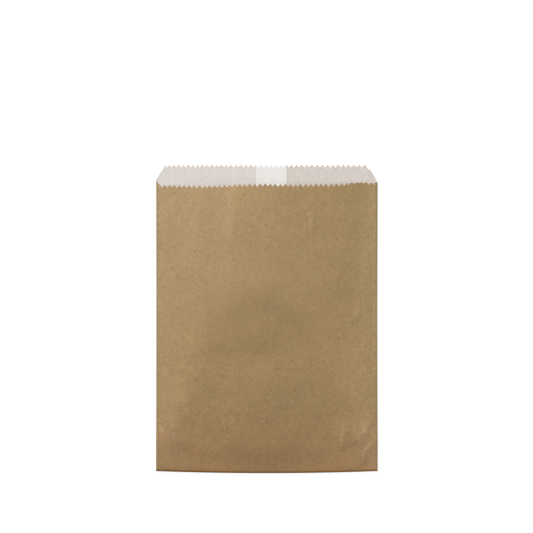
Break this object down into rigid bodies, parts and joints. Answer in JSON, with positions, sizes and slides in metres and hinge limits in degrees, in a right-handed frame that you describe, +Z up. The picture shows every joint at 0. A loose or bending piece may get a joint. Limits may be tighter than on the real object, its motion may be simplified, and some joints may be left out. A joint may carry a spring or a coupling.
{
  "type": "flat paper bag",
  "caption": "Flat brown kraft bag with a white greaseproof lining, a sawtooth-cut stepped mouth, a lapped back seam and a bottom folded up and glued.",
  "frame": {"origin": "middle of the bag's plan, on the surface that it lies on", "axes": "+Y along the bag's length towards its mouth, +X to the right seen from the front, +Z up out of the front panel"},
  "size_m": [0.14, 0.195, 0.0089],
  "materials": {
    "kraft_paper": "matt machine-glazed brown kraft",
    "greaseproof_paper": "smooth translucent white"
  },
  "bodies": {
    "root": {"kraft_bag": "kraft_paper", "greaseproof_liner": "greaseproof_paper"}
  },
  "joints": []
}
